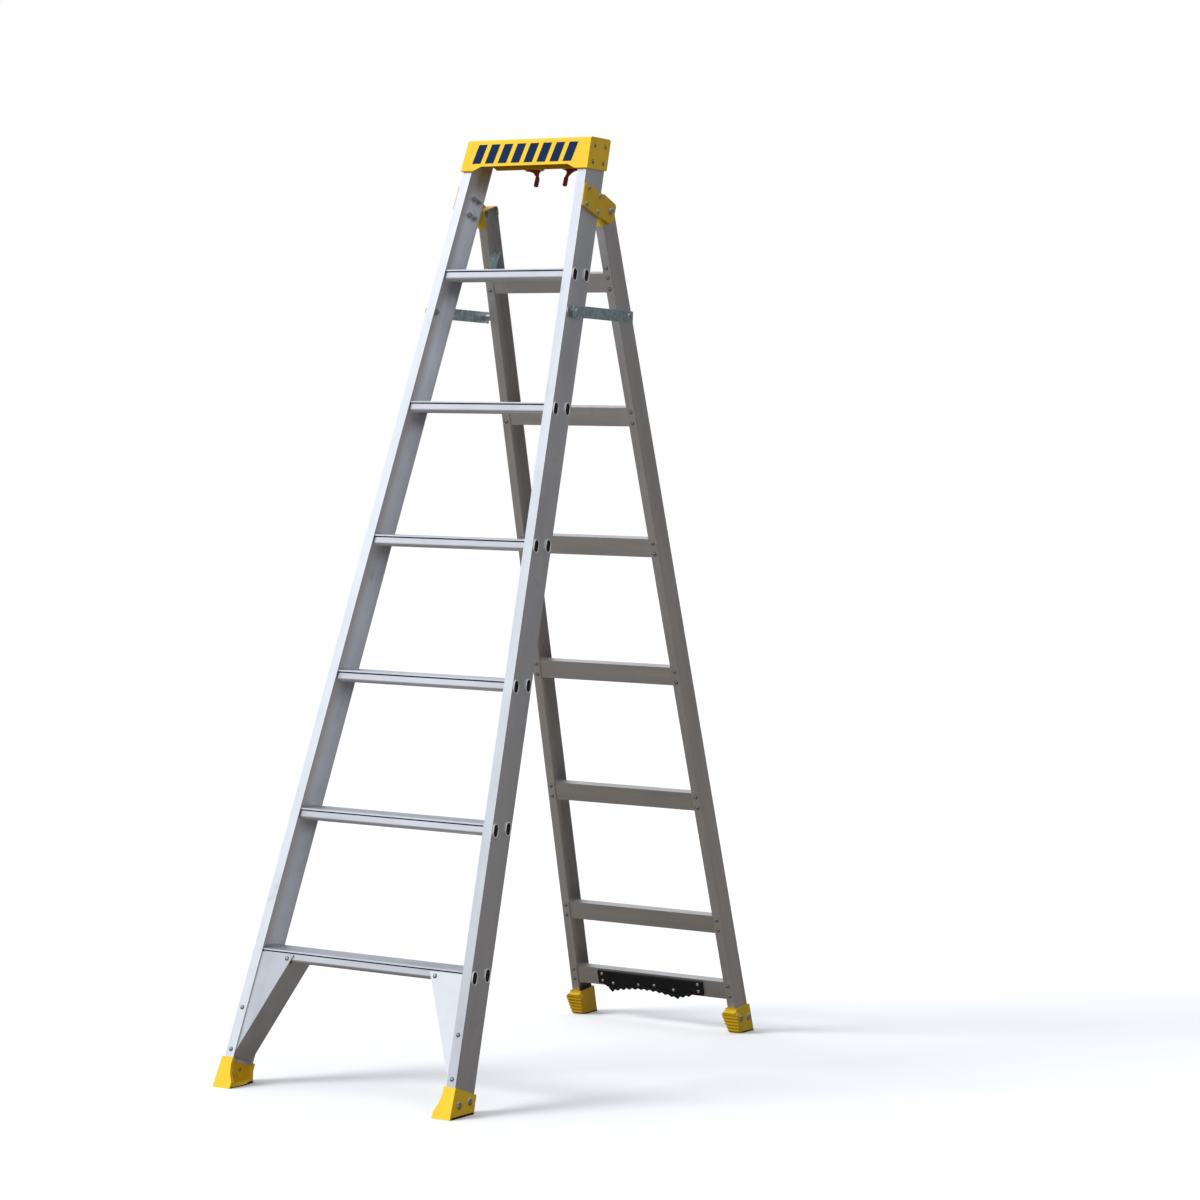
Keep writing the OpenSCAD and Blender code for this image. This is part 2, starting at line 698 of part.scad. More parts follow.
gusset_t = 1.6;
gusset_h = 39;
module gusset(side) color(ZINC) {
    foot_s = (rung_top(rung_count) + rear_flange * sin(rear_splay) + 0.1) / cos(rear_splay);
    in_d = rear_wall + 0.1;
    out_d = rear_depth - rear_wall - 0.1;
    on_rear(side) difference() {
        union() {
            translate([-rear_web - gusset_t - 0.1, in_d, foot_s]) cube([gusset_t, out_d - in_d, gusset_h]);
            translate([-rear_flange, in_d, foot_s]) cube([rear_flange - rear_web - 0.2, gusset_t, 24]);
            translate([-rear_flange, in_d, foot_s])
                cube([rear_flange - rear_web - 0.2, rung_depth - 0.2, gusset_t]);
            // Diagonal stiffening fold
            along_x(-rear_flange + 4, -rear_web - 1) polygon([
                [in_d + 4, foot_s], [in_d + 8, foot_s],
                [out_d, foot_s + gusset_h - 4], [out_d, foot_s + gusset_h], [out_d - 3, foot_s + gusset_h]]);
        }
        at_gusset_rivet() drill(rivet_r, wall_drill);
    }
}

// ---- Rear feet ----

rear_boot_wall = 5;
rear_boot_in = 25;
rear_boot_front_d = -3.5;
rear_boot_back_z = 63;
ledge_z = 56.5;
rear_boot_side = [
    [rear_face(rear_boot_front_d, 0), 0], [heel_reach, 0],
    [rear_face(heel_d, rear_boot_back_z), rear_boot_back_z],
    [rear_face(rear_boot_front_d, ledge_z), ledge_z]];

// The pad stands out in front of the boot, and widens towards its top
pad_base_z = 2;
pad_top = 48;
pad_top_d = -12.5;
pad_base_d = -5.5;
pad_mid_x = -rear_flange / 2;
pad_half_top = 21;
pad_half_base = 13;
pad_ridges = 6;
ridge_pitch = 7.8;
ridge_h = 3.4;
ridge_root = 4.6;
function pad_d(z) = pad_base_d + (pad_top_d - pad_base_d) * z / pad_top;
function pad_half(z) = pad_half_base + (pad_half_top - pad_half_base) * z / pad_top;

module pad_outline() {
    polygon([
        [rear_face(rear_boot_front_d + 1, pad_base_z), pad_base_z],
        [rear_face(pad_base_d, pad_base_z), pad_base_z],
        [rear_face(pad_top_d, pad_top - 2), pad_top - 2],
        [rear_face(pad_top_d - ridge_h, pad_top), pad_top],
        [rear_face(rear_boot_front_d + 1, ledge_z), ledge_z]]);
    for (i = [0:pad_ridges - 1]) {
        z = pad_base_z + 0.5 + i * ridge_pitch;
        polygon([
            [rear_face(pad_d(z) + 0.5, z), z],
            [rear_face(pad_d(z) - ridge_h, z + ridge_root / 2), z + ridge_root / 2],
            [rear_face(pad_d(z) - ridge_h, z + ridge_root), z + ridge_root],
            [rear_face(pad_d(z) + 0.5, z + ridge_root), z + ridge_root]]);
    }
}

// The ledge narrows from the pad's top up to the stile
pad_across = [for (p = [[-1, 0], [1, 0], [1, pad_top], [0.62, ledge_z], [-0.7, ledge_z], [-1, pad_top]])
    [pad_mid_x + p.x * pad_half(p.y), p.y]];

module rear_foot(side) color(YELLOW) difference() {
    union() {
        difference() {
            intersection() {
                translate([0, rear_y, 0]) along_x(-400, 400) polygon(rear_boot_side);
                on_rear(side) translate([-rear_boot_in, -20, -60])
                    cube([rear_boot_in + rear_boot_wall, 100, 200]);
            }
            difference() {
                on_rear(side) translate([-rear_flange - rear_boot_wall, -slip, -60])
                    cube([rear_flange + rear_boot_wall + 0.1, rear_depth + 2 * slip, 200]);
                below(sole_h - 0.2);
            }
        }
        intersection() {
            translate([0, rear_y, 0]) along_x(-400, 400) pad_outline();
            on_rear(side) along_y(-60, 30) polygon(pad_across);
        }
    }
    on_side(side) for (i = [0:3]) translate([150, rear_y + 6 + i * rear_groove_pitch, sole_groove_z])
        rotate([0, 90, 0]) cylinder(r = sole_groove_r, h = 120);
    on_rear(side) at_rear_foot_rivets() drill(foot_bolt_r, stack_drill);
}

module rear_foot_rivets() color(ZINC) for (side = [-1, 1])
    on_rear(side) at_rear_foot_rivets() foot_bolt(rear_boot_wall + rear_web);

// ---- Pole grip on the lowest rung ----

grip_t = 4.6;
grip_top = low_rung - 5;
// The lower edge: two lobes with an arch between them, and teeth along the arch and lobes
grip_ends = [-grip_len / 2, grip_len / 2];
lobe_left = -105;
lobe_right = 70;
tooth = 4.8;
tooth_pitch = 16;
tooth_count = 14;
function grip_edge(x) =
    x < lobe_left ? 88 - 19 * (x - grip_ends[0]) / (lobe_left - grip_ends[0]) :
    x > lobe_right ? 69 + 17 * pow((x - lobe_right) / (grip_ends[1] - lobe_right), 0.7) :
    69 + 13 * pow(sin(180 * (x - lobe_left) / (lobe_right - lobe_left)), 0.8);
grip_xs = [for (i = [0:2 * tooth_count]) lobe_left + (i - 1) * tooth_pitch / 2];
grip_outline = concat(
    [[grip_ends[0], grip_top], [grip_ends[0], 88], [grip_ends[0] + 12, 87]],
    [for (i = [0:2 * tooth_count]) [grip_xs[i], grip_edge(grip_xs[i]) + (i % 2 == 0 ? tooth : 0)]],
    [[grip_ends[1] - 12, 85], [grip_ends[1], 86], [grip_ends[1], grip_top]]);
grip_bolt_places = [
    [-129, grip_top - 7], [-129, grip_top - 24], [129, grip_top - 7], [129, grip_top - 24],
    [-101, 91], [-32, 94], [11, 97], [62, 91]];

module at_grip_bolts() in_rear() for (p = grip_bolt_places)
    out_of_front(p.x, rear_wall + 0.1 - grip_t, p.y) children();

module pole_grip() color([0.08, 0.08, 0.09]) difference() {
    in_rear() along_y(rear_wall - grip_t, rear_wall) polygon(grip_outline);
    at_grip_bolts() drill(grip_bolt_r, stack_drill);
}

module pole_grip_bolts() color(ZINC) at_grip_bolts() {
    translate([0, 0, -grip_t - rung_wall - 2]) cylinder(r = grip_bolt_r, h = grip_t + rung_wall + 2.3);
    translate([0, 0, 0.1]) cylinder(r1 = 3.8, r2 = 2.6, h = 1.6);
    translate([0, 0, -grip_t - rung_wall - 1.8]) cylinder(r = 3.4, h = 1.7);
}

// ---- Spreader bars and the bolts they turn on ----

module spreader_bolts() color(ZINC) for (side = [-1, 1]) {
    s = (spreader_z - bar_pivot_d * sin(rear_lean)) / cos(rear_lean);
    web_x = rear_web_x(s);
    at_bar_pivot(side) {
        translate([0, 0, web_x - 12]) cylinder(r = bar_pin_r, h = bar_x + bar_t + 0.4 - web_x + 12);
        translate([0, 0, web_x + 0.4]) cylinder(r = 7, h = bar_x - slip - web_x - 0.4);
        translate([0, 0, bar_x + bar_t + slip]) cylinder(r1 = 7.5, r2 = 6, h = 2.6);
        translate([0, 0, web_x - rear_web - 6.9]) cylinder(r = 6.6, h = 6.5, $fn = 6);
    }
}

bar_outline = rounded(
    [[stud_y - bar_front_end, -bar_w / 2], [bar_pivot_y + bar_rear_end, -bar_w / 2],
     [bar_pivot_y + bar_rear_end, bar_w / 2], [stud_y - bar_front_end, bar_w / 2]],
    [3, 3, 3, 3]);

module spreader(side) color(ZINC) difference() {
    on_side(side) {
        along_x(bar_x, bar_x + bar_t) translate([0, spreader_z]) polygon(bar_outline);
        translate([bar_x + bar_t - 0.1, stud_y, spreader_z]) rotate([0, 90, 0])
            cylinder(r1 = 6.5, r2 = 4.5, h = 2.5);
    }
    at_bar_pivot(side) translate([0, 0, 100]) cylinder(r = bar_pin_r + fit, h = 100);
}

front_stile(-1);  // front_stile_left
front_stile(1);  // front_stile_right
tread(1);  // tread_1
tread(2);  // tread_2
tread(3);  // tread_3
tread(4);  // tread_4
tread(5);  // tread_5
tread(6);  // tread_6
top_cap();
cap_rivets();
brace(-1);  // brace_left
brace(1);  // brace_right
brace_rivets();
front_foot(-1);  // front_foot_left
front_foot(1);  // front_foot_right
front_foot_rivets();
hinge_plate(-1);  // hinge_plate_left
hinge_plate(1);  // hinge_plate_right
hinge_bolts();
pivot_bolt(-1);  // pivot_bolt_left
pivot_bolt(1);  // pivot_bolt_right
spreader_studs();
spreader_keepers();
latch_pins();
rear_stile(-1);  // rear_stile_left
rear_stile(1);  // rear_stile_right
rung(1);  // rung_1
rung(2);  // rung_2
rung(3);  // rung_3
rung(4);  // rung_4
rung(5);  // rung_5
rung(6);  // rung_6
rung(7);  // rung_7
rung_rivets();
end_cap(-1);  // end_cap_left
end_cap(1);  // end_cap_right
gusset(-1);  // gusset_left
gusset(1);  // gusset_right
rear_foot(-1);  // rear_foot_left
rear_foot(1);  // rear_foot_right
rear_foot_rivets();
pole_grip();
pole_grip_bolts();
spreader_bolts();
spreader(-1);  // spreader_left
spreader(1);  // spreader_right
latch_lever(-1);  // latch_lever_left
latch_lever(1);  // latch_lever_right
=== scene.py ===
"""Looks of a dual-purpose aluminium ladder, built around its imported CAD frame. Metres, +Z up."""
import math

import bmesh
import bpy
from mathutils import Matrix, Vector


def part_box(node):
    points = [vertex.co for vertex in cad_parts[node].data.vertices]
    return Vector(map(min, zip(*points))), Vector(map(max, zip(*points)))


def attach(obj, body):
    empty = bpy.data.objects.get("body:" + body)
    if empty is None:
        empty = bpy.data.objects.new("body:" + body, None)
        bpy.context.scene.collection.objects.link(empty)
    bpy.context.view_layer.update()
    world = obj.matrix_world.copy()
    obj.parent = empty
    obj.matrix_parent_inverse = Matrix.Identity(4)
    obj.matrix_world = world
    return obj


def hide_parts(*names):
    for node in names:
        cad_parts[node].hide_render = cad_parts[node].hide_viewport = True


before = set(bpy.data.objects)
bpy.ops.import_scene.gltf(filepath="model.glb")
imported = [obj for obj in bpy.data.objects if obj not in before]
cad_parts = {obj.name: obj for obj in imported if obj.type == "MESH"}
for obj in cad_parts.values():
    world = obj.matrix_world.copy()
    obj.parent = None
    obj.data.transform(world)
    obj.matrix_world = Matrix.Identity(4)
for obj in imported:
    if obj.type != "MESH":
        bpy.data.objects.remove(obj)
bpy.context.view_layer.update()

# How the ladder stands, as in the CAD model
FRONT_LEAN = math.radians(18.2)
FRONT_SPLAY = math.radians(3.76)
REAR_LEAN = math.radians(17.8)
REAR_SPLAY = math.radians(1.89)
FRONT_HALF = 0.2895
REAR_HALF = 0.2215
TOE_REACH = 0.0095
HEEL_REACH = 0.056 / math.cos(REAR_LEAN)
CAP_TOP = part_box("top_cap")[1].z
STEP_PITCH = 0.3 * math.cos(FRONT_LEAN)
TREADS = range(1, 7)
RUNGS = range(1, 8)
# The cap is the step above the last tread
CAP_STEP = 7
SIDES = {"left": -1, "right": 1}


def tread_top(k):
    return CAP_TOP - (CAP_STEP - k) * STEP_PITCH


def front_along(height, depth):
    """Place along the front section of a point this high, and this deep behind its front face."""
    return (height + depth * math.sin(FRONT_LEAN)) / math.cos(FRONT_LEAN)


# ---- Node trees ----

class Shader:
    """A principled material whose nodes are added by short calls."""

    def __init__(self, name, **values):
        self.material = bpy.data.materials.new(name)
        self.material.use_nodes = True
        self.tree = self.material.node_tree
        self.principled = self.tree.nodes["Principled BSDF"]
        self.set(self.principled, **values)

    def set(self, node, **values):
        for key, value in values.items():
            node.inputs[key.replace("_", " ")].default_value = value

    def add(self, kind, settings=None, **values):
        node = self.tree.nodes.new(kind)
        for key, value in (settings or {}).items():
            setattr(node, key, value)
        self.set(node, **values)
        return node

    def link(self, source, target):
        self.tree.links.new(source, target)

    def finish(self, key, source):
        self.link(source, self.principled.inputs[key])

    def coordinates(self, turn=(0, 0, 0), scale=(1, 1, 1)):
        """Object coordinates turned into a section's own frame, then stretched."""
        place = self.add("ShaderNodeTexCoord")
        turned = self.add("ShaderNodeVectorRotate", {"rotation_type": "EULER_XYZ"}, Rotation=turn)
        self.link(place.outputs["Object"], turned.inputs["Vector"])
        stretched = self.add("ShaderNodeVectorMath", {"operation": "MULTIPLY"})
        stretched.inputs[1].default_value = scale
        self.link(turned.outputs[0], stretched.inputs[0])
        return stretched.outputs[0]

    def noise(self, at, scale=1.0, detail=3.0, roughness=0.5):
        node = self.add("ShaderNodeTexNoise", Scale=scale, Detail=detail, Roughness=roughness)
        self.link(at, node.inputs["Vector"])
        return node.outputs["Fac"]

    def voronoi(self, at, scale):
        node = self.add("ShaderNodeTexVoronoi", Scale=scale)
        self.link(at, node.inputs["Vector"])
        return node.outputs["Color"]

    def ramp(self, source, *stops):
        """Stops are (position, colour)."""
        node = self.add("ShaderNodeValToRGB")
        points = node.color_ramp.elements
        while len(points) < len(stops):
            points.new(0.5)
        for point, (position, colour) in zip(points, stops):
            point.position = position
            point.color = (*colour, 1)
        self.link(source, node.inputs["Fac"])
        return node.outputs["Color"]

    def range(self, source, low, high, start=0.0, end=1.0):
        node = self.add("ShaderNodeMapRange")
        for index, value in enumerate((start, end, low, high), 1):
            node.inputs[index].default_value = value
        self.link(source, node.inputs["Value"])
        return node.outputs["Result"]

    def mix(self, factor, a, b, blend="MIX"):
        node = self.add("ShaderNodeMix", {"data_type": "RGBA", "blend_type": blend})
        for index, value in ((0, factor), (6, a), (7, b)):
            if isinstance(value, bpy.types.NodeSocket):
                self.link(value, node.inputs[index])
            else:
                node.inputs[index].default_value = value if index == 0 else (*value, 1)
        return node.outputs[2]

    def math(self, operation, a, b):
        node = self.add("ShaderNodeMath", {"operation": operation})
        for index, value in enumerate((a, b)):
            if isinstance(value, bpy.types.NodeSocket):
                self.link(value, node.inputs[index])
            else:
                node.inputs[index].default_value = value
        return node.outputs[0]

    def height(self, low, high, bottom, top=1.0):
        """Grey that changes evenly from the height low, where it is bottom, to high."""
        place = self.add("ShaderNodeTexCoord")
        split = self.add("ShaderNodeSeparateXYZ")
        self.link(place.outputs["Object"], split.inputs[0])
        return self.range(split.outputs["Z"], bottom, top, low, high)

    def bump(self, source, distance, strength=1.0):
        node = self.add("ShaderNodeBump", Distance=distance, Strength=strength)
        self.link(source, node.inputs["Height"])
        self.finish("Normal", node.outputs["Normal"])


# ---- Materials ----

def extruded(name, turn, along, light, dark, shine=(0.3, 0.5), low_shade_tone=1.0):
    """Mill-finish aluminium: die lines along the extrusion, smudges, scuffs, and painted shade that darkens
    the low end.
    """
    shader = Shader(name, Metallic=1.0)
    lines_scale = tuple(4.0 if axis == along else 900.0 for axis in "XYZ")
    smear_scale = tuple(3.0 if axis == along else 28.0 for axis in "XYZ")
    lines = shader.noise(shader.coordinates(turn, lines_scale), detail=2)
    smears = shader.noise(shader.coordinates(turn, smear_scale), detail=4, roughness=0.6)
    blotches = shader.noise(shader.coordinates(turn, (14, 14, 14)), detail=5, roughness=0.65)
    tone = shader.ramp(smears, (0.3, dark), (0.7, light))
    marks = shader.ramp(blotches, (0.62, (1, 1, 1)), (0.75, (0.8, 0.78, 0.75)))
    marked = shader.mix(0.6, tone, marks, "MULTIPLY")
    # Painted shade: the colour gets darker towards the bottom.
    darkened = shader.height(0.2, 1.3, low_shade_tone)
    shader.finish("Base Color", shader.mix(1.0, marked, darkened, "MULTIPLY"))
    shader.finish("Roughness", shader.range(shader.math("ADD", lines, blotches), *shine, start=0.7, end=1.3))
    shader.bump(lines, 0.00004, 0.5)
    return shader.material


def moulded(name, colour, darkened, roughness=0.42, grain=0.00006, shine=0.45):
    """Moulded plastic: a fine grain, faint flow marks and a little dirt."""
    shader = Shader(name, Specular_IOR_Level=shine)
    at = shader.coordinates()
    clouds = shader.noise(at, 30, 4, 0.6)
    grain_height = shader.noise(at, 2600, 2)
    shader.finish("Base Color", shader.ramp(clouds, (0.25, darkened), (0.7, colour)))
    shader.finish("Roughness", shader.range(clouds, roughness + 0.1, roughness - 0.06))
    shader.bump(grain_height, grain, 0.35)
    return shader.material


def zinc(name, dark, light, roughness=0.34, metallic=1.0):
    """Zinc-plated steel, slightly mottled."""
    shader = Shader(name, Metallic=metallic)
    clouds = shader.noise(shader.coordinates(), 240, 3)
    tone = shader.ramp(clouds, (0.35, (dark, dark, dark)), (0.65, (light, light, light)))
    shader.finish("Base Color", tone)
    shader.finish("Roughness", shader.range(clouds, roughness + 0.08, roughness - 0.1))
    shader.bump(clouds, 0.00005, 0.3)
    return shader.material


def galvanised(name, light_gain=1.0):
    """Galvanised sheet: patches of crystal, blue-green in daylight."""
    shader = Shader(name, Metallic=1.0)
    at = shader.coordinates()
    crystals = shader.voronoi(at, 160)
    clouds = shader.noise(at, 22, 4)
    # The gain makes the whole sheet lighter: painted light.
    dull, clear = ([light_gain * c for c in tone] for tone in ((0.44, 0.55, 0.58), (0.63, 0.76, 0.79)))
    patches = shader.ramp(crystals, (0.2, dull), (0.8, clear))
    tone = shader.ramp(clouds, (0.35, (0.78, 0.86, 0.86)), (0.65, (1, 1, 1)))
    shader.finish("Base Color", shader.mix(1.0, patches, tone, "MULTIPLY"))
    shader.finish("Roughness", shader.range(clouds, 0.5, 0.34))
    return shader.material


FRONT_TURN = {side: (FRONT_LEAN, FRONT_SPLAY * sign, 0) for side, sign in SIDES.items()}
REAR_TURN = {side: (-REAR_LEAN, REAR_SPLAY * sign, 0) for side, sign in SIDES.items()}
LEVEL = (0, 0, 0)
BRIGHT = (0.86, 0.88, 0.91)
SILVER = (0.79, 0.8, 0.83)
# WARM and WARM_DARK paint the aluminium darker and warmer: painted shade and a painted reflection of brown
# ground.
WARM = (0.72, 0.71, 0.69)
WARM_DARK = (0.6, 0.585, 0.565)

# One aluminium in lit and shaded copies: the left stile is painted lighter, and the right is painted darker,
# with painted shade that deepens towards its foot.
front_metal = {
    "left": extruded("front_extrusion_left", FRONT_TURN["left"], "Z", (0.92, 0.94, 0.97), (0.86, 0.87, 0.9)),
    "right": extruded("front_extrusion_right", FRONT_TURN["right"], "Z", BRIGHT, SILVER, low_shade_tone=0.84)}
# The rear stiles and the rungs wear the warm tones of painted shade and reflection; the rungs are also
# painted darker towards the bottom.
rear_metal = {
    side: extruded(f"rear_extrusion_{side}", REAR_TURN[side], "Z", WARM, WARM_DARK, (0.34, 0.55))
    for side in SIDES}
tread_metal = extruded("tread_extrusion", LEVEL, "X", (0.78, 0.79, 0.83), (0.66, 0.67, 0.7))
rung_metal = extruded("rung_extrusion", LEVEL, "X", WARM, WARM_DARK, (0.36, 0.56), low_shade_tone=0.85)
# Lit and shaded copies of one sheet: the left brace is painted darker, the right painted near white.
brace_metal = {
    "left": extruded("brace_sheet_left", LEVEL, "Z", (0.74, 0.76, 0.79), (0.62, 0.64, 0.67), (0.4, 0.55)),
    "right": extruded("brace_sheet_right", LEVEL, "Z", (0.97, 0.98, 1.0), (0.93, 0.94, 0.96), (0.38, 0.52))}
yellow = moulded("yellow_plastic", (0.86, 0.555, 0.018), (0.8, 0.5, 0.016))
# The hinge plates and end caps wear a darker copy of the yellow plastic: painted shade.
plate_yellow = moulded("plate_yellow_plastic", (0.7, 0.46, 0.017), (0.64, 0.41, 0.015))
# Darker copies of the yellow plastic for the rear feet, the left darker than the right: painted shade.
ochre = {
    "left": moulded("shaded_yellow_left", (0.65, 0.4, 0.009), (0.53, 0.315, 0.007), 0.46),
    "right": moulded("shaded_yellow_right", (0.72, 0.48, 0.013), (0.59, 0.385, 0.011), 0.46)}
navy = moulded("navy_print", (0.004, 0.02, 0.065), (0.006, 0.026, 0.078), 0.6, shine=0.12)
red = moulded("dark_red_plastic", (0.25, 0.02, 0.018), (0.19, 0.014, 0.012), 0.36)
black = moulded("black_rubber", (0.005, 0.005, 0.005), (0.009, 0.009, 0.009), 0.4, shine=0.22)
# Near-black for the tread grooves: painted shadow.
groove_shadow_black = moulded("painted_groove_shadow", (0.004, 0.006, 0.016), (0.008, 0.01, 0.022), 0.6, shine=0.1)
bolt_metal = zinc("zinc_plate", 0.4, 0.66)
rivet_metal = zinc("dull_zinc", 0.3, 0.52, 0.18)
# Near-black for the rings round the rivet heads: painted shadow.
rivet_shadow_paint = moulded("rivet_shadow_paint", (0.03, 0.03, 0.03), (0.05, 0.05, 0.048), 0.8, shine=0.1)
# A near-white, partly diffuse copy of the tubes' aluminium, so the rims read bright: painted highlight.
rim_highlight_metal = zinc("bright_rim_highlight", 0.86, 0.97, 0.36, metallic=0.45)
# Lit copies of one galvanised sheet: the gain paints the gusset lightest and the left bar lighter than the
# right.
bar_metal = {
    "left": galvanised("galvanised_bar_left", 1.18),
    "right": galvanised("galvanised_bar_right", 1.06)}
gusset_metal = galvanised("galvanised_gusset", 1.42)


def wear(names, material):
    for name in names:
        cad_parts[name].data.materials.clear()
        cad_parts[name].data.materials.append(material)


for side in SIDES:
    wear([f"front_stile_{side}"], front_metal[side])
    wear([f"rear_stile_{side}"], rear_metal[side])
    wear([f"front_foot_{side}"], yellow)
    wear([f"hinge_plate_{side}", f"end_cap_{side}"], plate_yellow)
    wear([f"rear_foot_{side}"], ochre[side])
    wear([f"brace_{side}"], brace_metal[side])
    wear([f"spreader_{side}"], bar_metal[side])
    wear([f"gusset_{side}"], gusset_metal)
    wear([f"latch_lever_{side}"], red)
    wear([f"pivot_bolt_{side}"], bolt_metal)
wear([f"tread_{k}" for k in TREADS], tread_metal)
wear([f"rung_{k}" for k in RUNGS], rung_metal)
wear(["top_cap"], yellow)
wear(["pole_grip"], black)
wear(["front_foot_rivets", "spreader_studs", "spreader_keepers", "latch_pins", "rear_foot_rivets",
      "pole_grip_bolts", "spreader_bolts"], bolt_metal)
wear(["cap_rivets", "brace_rivets", "rung_rivets", "hinge_bolts"], rivet_metal)


# ---- Geometry ----

def round_edges(names, width, segments=2, sharp=35):
    """Gives CAD nodes the small edge radii that folding, moulding or deburring leaves."""
    for name in names:
        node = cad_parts[name]
        node.data.polygons.foreach_set("use_smooth", [True] * len(node.data.polygons))
        weld = node.modifiers.new("weld", "WELD")
        weld.merge_threshold = 0.00001
        flatten = node.modifiers.new("flatten", "DECIMATE")
        flatten.decimate_type = "DISSOLVE"
        flatten.angle_limit = math.radians(0.5)
        bevel(node, width, segments, sharp)


def bevel(piece, width, segments=2, sharp=35):
    edges = piece.modifiers.new("bevel", "BEVEL")
    edges.width = width
    edges.segments = segments
    edges.angle_limit = math.radians(sharp)
    edges.harden_normals = True
    facing = piece.modifiers.new("facing", "WEIGHTED_NORMAL")
    facing.weight = 100
    facing.keep_sharp = True


def loft(mesh, near_points, far_points):
    """A solid between two outlines that match point by point."""
    near = [mesh.verts.new(p) for p in near_points]
    far = [mesh.verts.new(p) for p in far_points]
    mesh.faces.new(near)
    mesh.faces.new(far[::-1])
    for i in range(len(near)):
        mesh.faces.new((near[i], near[i - 1], far[i - 1], far[i]))


def prism(mesh, points, push, place):
    """A flat outline pushed into a solid."""
    loft(mesh, [place @ Vector(p) for p in points], [place @ (Vector(p) + Vector(push)) for p in points])


def lathe(mesh, profile, place, segments=28):
    """A profile of (radius, height) turned about Z."""
    turns = [(math.cos(t), math.sin(t)) for t in (math.tau * k / segments for k in range(segments))]
    rings = [[mesh.verts.new(place @ Vector((r * c, r * s, z))) for c, s in turns] for r, z in profile]
    for low, high in zip(rings, rings[1:]):
        for k in range(segments):
            mesh.faces.new((low[k - 1], low[k], high[k], high[k - 1]))
    mesh.faces.new(rings[0][::-1])
    mesh.faces.new(rings[-1])


def sweep(mesh, path, radius, place, around=10):
    """A round bar along a closed path that lies in a plane across X."""
    across = Vector((1, 0, 0))
    turns = [math.tau * j / around for j in range(around)]
    rings = []
    count = len(path)
    for i in range(count):
        before, here, after = Vector(path[i - 1]), Vector(path[i]), Vector(path[(i + 1) % count])
        tangent = ((here - before).normalized() + (after - here).normalized()).normalized()
        outwards = across.cross(tangent)
        offsets = [radius * (math.cos(t) * outwards + math.sin(t) * across) for t in turns]
        rings.append([mesh.verts.new(place @ (here + offset)) for offset in offsets])
    for i in range(count):
        for j in range(around):
            mesh.faces.new((rings[i - 1][j - 1], rings[i - 1][j], rings[i][j], rings[i][j - 1]))


def oval(half_w, half_h, steps):
    """(depth, along) points round an oval: two half circles with straight sides between them."""
    lift = half_h - half_w
    points = []
    for start, centre in ((0, lift), (math.pi, -lift)):
        for i in range(steps + 1):
            t = start + math.pi * i / steps
            points.append((half_w * math.cos(t), centre + half_w * math.sin(t)))
    return points


def finish_piece(name, mesh, material, body, edge=0.0, stands_for=()):
    """Turns a bmesh into an object on a CAD body."""
    bmesh.ops.recalc_face_normals(mesh, faces=mesh.faces)
    data = bpy.data.meshes.new(name)
    mesh.to_mesh(data)
    mesh.free()
    data.materials.append(material)
    data.polygons.foreach_set("use_smooth", [True] * len(data.polygons))
    data.set_sharp_from_angle(angle=math.radians(35))
    piece = bpy.data.objects.new(name, data)
    bpy.context.scene.collection.objects.link(piece)
    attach(piece, body)
    if stands_for:
        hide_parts(*stands_for)
    if edge:
        bevel(piece, edge)
    return piece


# The frames in which the CAD model draws its two sections and their stiles
front_place = Matrix.Translation((0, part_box("front_foot_left")[0].y + TOE_REACH, 0)) @ Matrix.Rotation(
    -FRONT_LEAN, 4, "X")
rear_place = Matrix.Translation((0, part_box("rear_foot_left")[1].y - HEEL_REACH, 0)) @ Matrix.Rotation(
    REAR_LEAN, 4, "X")


def on_stile(place, side, half, splay):
    mirror = Matrix.Diagonal((SIDES[side], 1, 1, 1))
    return place @ mirror @ Matrix.Translation((half, 0, 0)) @ Matrix.Rotation(-splay, 4, "Y")


on_front = {side: on_stile(front_place, side, FRONT_HALF, FRONT_SPLAY) for side in SIDES}
on_rear = {side: on_stile(rear_place, side, REAR_HALF, REAR_SPLAY) for side in SIDES}

round_edges(["top_cap"], 0.0011, 3)
for side in SIDES:
    round_edges([f"hinge_plate_{side}"], 0.001, 3)
    round_edges([f"end_cap_{side}"], 0.0006)
    round_edges([f"front_foot_{side}", f"rear_foot_{side}"], 0.0008, 3)
    round_edges([f"front_stile_{side}", f"rear_stile_{side}", f"brace_{side}"], 0.0004)
    round_edges([f"latch_lever_{side}"], 0.001, 3)
    round_edges([f"spreader_{side}", f"gusset_{side}"], 0.0005)
    round_edges([f"pivot_bolt_{side}"], 0.0005)
round_edges([f"tread_{k}" for k in TREADS], 0.0003)
round_edges([f"rung_{k}" for k in RUNGS], 0.0006)
round_edges(["pole_grip"], 0.0006)


def cap_bars():
    """A plain row of slanted bars printed on the cap's front face."""
    count, width, gap, slant = 8, 0.0215, 0.0115, 0.009
    top, bottom = (CAP_TOP - drop for drop in (0.0105, 0.0525))
    face, proud, root = -0.005, 0.0003, 0.001
    first = -0.135
    mesh = bmesh.new()
    for k in range(count):
        left = first + k * (width + gap)
        right = left + width
        corners = (left, bottom), (right, bottom), (right + slant, top), (left + slant, top)
        points = [(x, face - proud, front_along(z, face)) for x, z in corners]
        prism(mesh, points, (0, proud + root, 0), front_place)
    finish_piece("cap_bars", mesh, navy, "front_frame")


# The two oval tubes under each tread
TUBE_DEPTHS = (0.0115, 0.0565)
TUBE_DROP = 0.0128
TUBE_W = 0.0135
TUBE_H = 0.0235


def tube_centres(k):
    """Depth into the stile, and place along it, of tread k's two tubes."""
    height = tread_top(k) - TUBE_DROP
    return [(d, front_along(height, d) / math.cos(FRONT_SPLAY)) for d in TUBE_DEPTHS]


